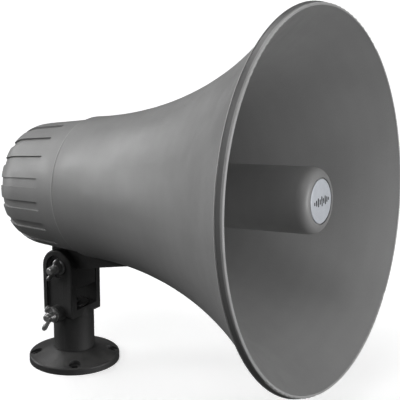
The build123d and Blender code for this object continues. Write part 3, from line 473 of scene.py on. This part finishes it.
def cast_aluminium(surface):
    colour, roughness = metal(
        surface, (0.45, 0.45, 0.46), (0.60, 0.60, 0.61), (0.30, 0.30, 0.30), 0.45, (1, 1, 1), 0.05 * MM)
    return surface.finish(colour, roughness, metallic=0.9)


def plate_steel(surface):
    colour, roughness = metal(
        surface, (0.40, 0.41, 0.39), (0.52, 0.53, 0.50), (0.36, 0.30, 0.16), 0.32, (8, 1, 1), 0.008 * MM)
    return surface.finish(colour, roughness, metallic=1.0)


def terminal_brass(surface):
    colour, roughness = metal(
        surface, (0.58, 0.44, 0.20), (0.72, 0.57, 0.28), (0.30, 0.20, 0.09), 0.30, (1, 6, 1), 0.008 * MM)
    return surface.finish(colour, roughness, metallic=1.0)


def copper(surface):
    """Enamelled wire in close turns."""
    turns = surface.calculate("MULTIPLY", surface.along(HORN_AXIS, HORN.translation), FINE_LINES)
    wire = surface.spread(surface.calculate("SINE", turns), -1.0, 1.0)
    cloud = surface.spread(surface.noise(300, 3), 0.3, 0.7)
    shade = surface.blend(cloud, (0.42, 0.16, 0.07), (0.62, 0.27, 0.13))
    colour = surface.blend(wire, (0.16, 0.06, 0.03), shade)
    surface.relief(wire, 0.12 * MM)
    return surface.finish(colour, surface.spread(surface.noise(500, 3), 0.3, 0.7, 0.24, 0.40), metallic=0.8)


def lamination_steel(surface):
    """Varnished stack of thin sheets, seen on edge along the horn's axis."""
    sheets = surface.calculate("MULTIPLY", surface.along(HORN_AXIS, HORN.translation), FINE_LINES)
    sheet = surface.spread(surface.calculate("SINE", sheets), -0.4, 0.9)
    varnish = surface.spread(surface.noise(180, 5), 0.45, 0.70)
    colour = surface.blend(sheet, grey(0.035), grey(0.16))
    colour = surface.blend(surface.calculate("MULTIPLY", varnish, 0.5), colour, (0.12, 0.05, 0.02))
    surface.relief(sheet, 0.06 * MM)
    return surface.finish(colour, surface.spread(varnish, 0.0, 1.0, 0.45, 0.25), metallic=0.5)


def ferrite(surface):
    """Ground ceramic magnet, with small chips along its edges."""
    cloud = surface.spread(surface.noise(90, 5), 0.3, 0.7)
    broken = surface.spread(surface.noise(350, 3), 0.5, 0.6)
    chips = surface.calculate("MULTIPLY", surface.edges(0.8 * MM), broken)
    colour = surface.blend(cloud, grey(0.040), grey(0.060, -0.03))
    colour = surface.blend(chips, colour, grey(0.13))
    surface.relief(surface.noise(900, 4), 0.03 * MM)
    surface.relief(chips, -0.15 * MM)
    return surface.finish(colour, surface.spread(cloud, 0.0, 1.0, 0.55, 0.70), metallic=0.3)


def phenolic_cloth(surface):
    """Resin-treated cotton weave."""
    across = surface.calculate("SINE", surface.calculate("MULTIPLY", surface.along((0, 1, 0)), CLOTH_THREADS))
    upward = surface.calculate("SINE", surface.calculate("MULTIPLY", surface.along((0, 0, 1)), CLOTH_THREADS))
    weave = surface.spread(surface.calculate("MULTIPLY", across, upward), -1.0, 1.0)
    soaked = surface.spread(surface.noise(140, 4), 0.3, 0.7)
    colour = surface.blend(soaked, (0.20, 0.095, 0.035), (0.34, 0.18, 0.075))
    colour = surface.blend(surface.calculate("MULTIPLY", weave, 0.45), colour, (0.42, 0.25, 0.12))
    surface.relief(weave, 0.06 * MM)
    return surface.finish(colour, surface.spread(soaked, 0.0, 1.0, 0.40, 0.60))


FINISHES = [
    bell_plastic, bracket_plastic, black_plastic, nylon, rubber, zinc_steel, black_steel, badge_metal,
    cast_aluminium, plate_steel, terminal_brass, copper, lamination_steel, ferrite, phenolic_cloth,
]
materials = {finish.__name__: finish(Surface(finish.__name__)) for finish in FINISHES}


def dress_cad_nodes():
    """Gives every node of the frame its slot's material."""
    for subpart in record["subparts"]:
        piece = frame["nodes"][subpart["node"]]
        for place in piece.material_slots:
            place.material = materials[subpart["material_slot"]]


# ---- Mesh building blocks ----------------------------------------------------------------------
WELD = 1e-4


def make_piece(name, bm, slot, body, place, sharp=35.0):
    """Turns a bmesh drawn in millimetres into a piece that rides on a body."""
    bmesh.ops.recalc_face_normals(bm, faces=bm.faces)
    mesh = bpy.data.meshes.new(name)
    bm.to_mesh(mesh)
    bm.free()
    mesh.transform(place @ Matrix.Scale(MM, 4))
    mesh.shade_smooth()
    mesh.set_sharp_from_angle(angle=math.radians(sharp))
    mesh.materials.append(materials[slot])
    piece = bpy.data.objects.new(name, mesh)
    bpy.context.scene.collection.objects.link(piece)
    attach(piece, body)
    return piece


def arc(middle, radius, start, end, steps):
    """Points on an arc in a plane, with angles in degrees from its first axis."""
    angles = [math.radians(start + (end - start) * step / steps) for step in range(steps + 1)]
    return [(middle[0] + radius * math.cos(a), middle[1] + radius * math.sin(a)) for a in angles]


def join_rings(bm, rings, closed=True):
    """Quads between each ring of vertices and the next; a closed ring's last vertex joins its first."""
    count = len(rings[0])
    last = count if closed else count - 1
    for lower, upper in zip(rings, rings[1:]):
        for index in range(last):
            after = (index + 1) % count
            bm.faces.new((lower[index], lower[after], upper[after], upper[index]))


def lathe(outline, segments=256, closed=True):
    """Turns an outline of (station, radius) round the X axis; closed if it returns to its start."""
    bm = bmesh.new()
    rings = []
    for step in range(segments):
        angle = 2 * math.pi * step / segments
        rings.append([bm.verts.new((s, r * math.sin(angle), r * math.cos(angle))) for s, r in outline])
    join_rings(bm, rings + rings[:1], closed)
    bmesh.ops.remove_doubles(bm, verts=bm.verts, dist=WELD)
    return bm


def helix(radius, pitch, length, tooth, steps_per_turn=48):
    """A thread's tooth wound along +Z from Z = 0, fading out over its first and last turn."""
    root_half = pitch * 0.45
    crest_half = pitch * 0.08
    sunk = -0.05
    bm = bmesh.new()
    total = int(length / pitch * steps_per_turn)
    rings = []
    for step in range(total + 1):
        angle = 2 * math.pi * step / steps_per_turn
        fade = min(1.0, step / steps_per_turn, (total - step) / steps_per_turn)
        height = pitch * step / steps_per_turn
        crest = tooth * fade
        section = [(sunk, -root_half), (crest, -crest_half), (crest, crest_half), (sunk, root_half)]
        ring = []
        for out, along in section:
            reach = radius + out
            ring.append(bm.verts.new((reach * math.cos(angle), reach * math.sin(angle), height + along)))
        rings.append(ring)
    join_rings(bm, rings, closed=False)
    return bm


def rounded_bar(bm, across, size, chamfer, thick):
    """Upright bar with round ends in the YZ plane, from X = 0 to thick, chamfered at the front."""
    end_steps = 8
    half_width = size[0] / 2
    straight = size[1] / 2 - half_width
    outline = []
    for centre_z, start in ((straight, 0), (-straight, 180)):
        outline += arc((0, centre_z), half_width, start, start + 180, end_steps)
    layers = []
    for x, shrink in ((0, 0), (thick - chamfer, 0), (thick, chamfer)):
        narrow = 1 - shrink / half_width
        short = 1 - shrink / straight
        layers.append([bm.verts.new((x, across + y * narrow, z * short)) for y, z in outline])
    join_rings(bm, layers)
    bm.faces.new(layers[-1])
    bm.faces.new(list(reversed(layers[0])))


# ---- Pieces on the horn ------------------------------------------------------------------------
def station_of(point):
    """Distance along the horn's axis, in millimetres."""
    return (HORN.inverted() @ point).x / MM


def rim_radius():
    """Radius of the bell's rim, in millimetres."""
    low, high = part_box("horn_bell")
    return (high.y - low.y) / 2 / MM


def make_ring(name, station, radius, section_radius, steps):
    """Bead with a round section, closed on itself round the horn's axis."""
    outline = arc((station, radius), section_radius, 0, 360, steps)[:-1]
    make_piece(name, lathe(outline, 360), "bell_plastic", "horn", HORN)


def make_rim_bead():
    """Small rolled bead along the back edge of the bell's rim band."""
    band_back = 229.3
    make_ring("rim_bead", band_back + 0.35, rim_radius() - 0.30, 0.55, 16)


def make_mouth_lip():
    """Rounded lip that stiffens the mouth's edge."""
    lip_station = 234.3
    make_ring("mouth_lip", lip_station, rim_radius() - 2.1, 0.8, 20)


def make_seam_bead():
    """Raised lip where the bell's rear edge closes over the cover."""
    back = 27.4
    front = 30.6
    inner = 54.2
    crest = 56.8
    corner = 1.0
    outline = [(back, inner), (back, crest - corner)]
    outline += arc((back + corner, crest - corner), corner, 180, 90, 8)[1:]
    outline += [(back + 1.7, crest - 0.1), (front, inner + 0.9), (front, inner)]
    make_piece("seam_bead", lathe(outline), "bell_plastic", "horn", HORN)


def make_badge():
    """Domed silver disc, with a plain row of level bars as its mark."""
    low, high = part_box("badge")
    radius = (high.y - low.y) / 2 / MM
    front = station_of(middle_of("badge")) + 0.65
    back = front - 1.4
    bulge = 0.6
    flat = radius - 0.5
    dome_steps = 12

    def face(distance):
        return front + bulge * (1 - (distance / radius) ** 2)

    outline = [(back, 0.0), (back, radius - 0.1), (front - 0.25, radius - 0.1), (front - 0.05, radius - 0.3)]
    for step in range(dome_steps, -1, -1):
        distance = flat * step / dome_steps
        outline.append((face(distance), distance))
    disc = make_piece("badge_disc", lathe(outline, 160, closed=False), "badge_metal", "horn", HORN)
    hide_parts("badge")

    bars = bmesh.new()
    heights = (2.6, 4.4, 6.6, 4.0, 7.4, 4.0, 6.6, 4.4, 2.6)
    pitch = 2.7
    bar_width = 1.5
    chamfer = 0.15
    thick = 0.3
    sunk = 0.12
    for index, height in enumerate(heights):
        across = (index - (len(heights) - 1) / 2) * pitch
        rounded_bar(bars, across, (bar_width, height), chamfer, thick)
    for vert in bars.verts:
        vert.co.x += face(math.hypot(vert.co.y, vert.co.z)) - sunk
    make_piece("badge_mark", bars, "black_plastic", "horn", HORN)


# ---- Pieces on the bracket ---------------------------------------------------------------------
STUD_RADIUS = 3.0
BORE_RADIUS = 3.06
THREAD_PITCH = 1.0
THREAD_DEPTH = 0.16
# The thread starts this far inside the nut's outer face, and stops this far short of the stud's end.
THREAD_START = 0.5
THREAD_END = 0.3
WING_THICK = 2.3
WING_EDGE = 0.6
LOBE_DISH = 0.35
LOBE_REACH = 8.5
LOBE_HEIGHT = 7.6
LOBE_RADIUS = 3.3
HUB_HEIGHT = 5.6
HUB_FOOT = 4.85
HUB_TOP = 4.25


def wing_outline():
    """Outline of one wing in the XZ plane: a round lobe on a neck that ends inside the hub's wall."""
    lobe = arc((LOBE_REACH, LOBE_HEIGHT), LOBE_RADIUS, -80, 165, 14)
    neck = [(4.9, 6.4), (3.8, 5.0), (3.6, 1.2), (4.6, 0.5), (6.6, 2.4)]
    return lobe + neck


def add_wing(bm, side):
    """One wing, from one face to the other: each face has a round edge and a sunken middle."""
    half = WING_THICK / 2
    # depth through the wing, and size of the outline there
    layers = (
        (-half + LOBE_DISH, 0.52),
        (-half, 0.60),
        (-half, 0.84),
        (-half + WING_EDGE, 1.0),
        (half - WING_EDGE, 1.0),
        (half, 0.84),
        (half, 0.60),
        (half - LOBE_DISH, 0.52),
    )
    centre_x = LOBE_REACH - 1.6
    centre_z = LOBE_HEIGHT - 1.3
    rings = []
    for depth, size in layers:
        ring = []
        for x, z in wing_outline():
            across = side * (centre_x + (x - centre_x) * size)
            ring.append(bm.verts.new((across, depth, centre_z + (z - centre_z) * size)))
        rings.append(ring)
    join_rings(bm, rings)
    for ring in (rings[0], rings[-1]):
        bm.faces.new(ring)


def smooth_copy(bm, levels):
    """The bmesh after Catmull-Clark subdivision."""
    mesh = bpy.data.meshes.new("smooth_source")
    bmesh.ops.recalc_face_normals(bm, faces=bm.faces)
    bm.to_mesh(mesh)
    bm.free()
    source = bpy.data.objects.new("smooth_source", mesh)
    bpy.context.scene.collection.objects.link(source)
    subdivision = source.modifiers.new("subdivision", "SUBSURF")
    subdivision.levels = levels
    evaluated = source.evaluated_get(bpy.context.evaluated_depsgraph_get())
    smooth = bmesh.new()
    smooth.from_mesh(evaluated.to_mesh())
    evaluated.to_mesh_clear()
    bpy.data.objects.remove(source)
    bpy.data.meshes.remove(mesh)
    return smooth


def add_hub(bm):
    """Flared hub round the bore, from its foot on Z = 0."""
    outline = [(0.0, BORE_RADIUS), (0.0, HUB_FOOT - 0.25), (0.25, HUB_FOOT), (0.9, HUB_FOOT - 0.05)]
    outline += [(HUB_HEIGHT - 0.9, HUB_TOP), (HUB_HEIGHT - 0.3, HUB_TOP - 0.15)]
    outline += [(HUB_HEIGHT, HUB_TOP - 0.55), (HUB_HEIGHT, HUB_TOP - 0.75), (HUB_HEIGHT - 0.45, BORE_RADIUS)]
    hub = lathe(outline, 64)
    hub.transform(Matrix.Rotation(-math.pi / 2, 4, "Y"))
    mesh = bpy.data.meshes.new("hub_source")
    hub.to_mesh(mesh)
    hub.free()
    bm.from_mesh(mesh)
    bpy.data.meshes.remove(mesh)


def wing_angle(node):
    """Angle of the long axis of a nut's outline, seen along its stud, which is the line of its wings."""
    middle = middle_of(node)
    offsets = [vert.co - middle for vert in frame["nodes"][node].data.vertices]
    cross_sum = sum(offset.x * offset.z for offset in offsets)
    difference = sum(offset.x ** 2 - offset.z ** 2 for offset in offsets)
    return math.atan2(2 * cross_sum, difference) / 2


def facing_out(node, y):
    """A shift to the plane at y on a node's middle line, and the turn that takes +Z to -Y."""
    middle = middle_of(node)
    return Matrix.Translation((middle.x, y, middle.z)), Matrix.Rotation(math.pi / 2, 4, "X")


def make_wing_nut(node, name):
    """Cast wing nut: a flared hub with a plain bore, and two dished wings."""
    nut = bmesh.new()
    for side in (1, -1):
        add_wing(nut, side)
    nut = smooth_copy(nut, 2)
    add_hub(nut)
    seat, facing = facing_out(node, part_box(node)[1].y)
    place = seat @ Matrix.Rotation(-wing_angle(node), 4, "Y") @ facing
    piece = make_piece(name, nut, "zinc_steel", node, place)
    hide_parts(node)


def make_thread(stud, nut, name):
    """Thread on the part of a stud that shows beyond its nut."""
    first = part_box(nut)[1].y - (HUB_HEIGHT - THREAD_START) * MM
    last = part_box(stud)[0].y + THREAD_END * MM
    seat, facing = facing_out(stud, first)
    tooth = helix(STUD_RADIUS, THREAD_PITCH, (first - last) / MM, THREAD_DEPTH)
    make_piece(name, tooth, "zinc_steel", "swivel", seat @ facing, sharp=20)


make_camera()
make_lights()
make_stage()
dress_cad_nodes()
make_rim_bead()
make_mouth_lip()
make_seam_bead()
make_badge()
make_wing_nut("tilt_wing_nut", "tilt_wing_nut_cast")
make_wing_nut("pan_wing_nut", "pan_wing_nut_cast")
make_thread("tilt_bolt", "tilt_wing_nut", "tilt_bolt_thread")
make_thread("pan_lock_stud", "pan_wing_nut", "pan_stud_thread")
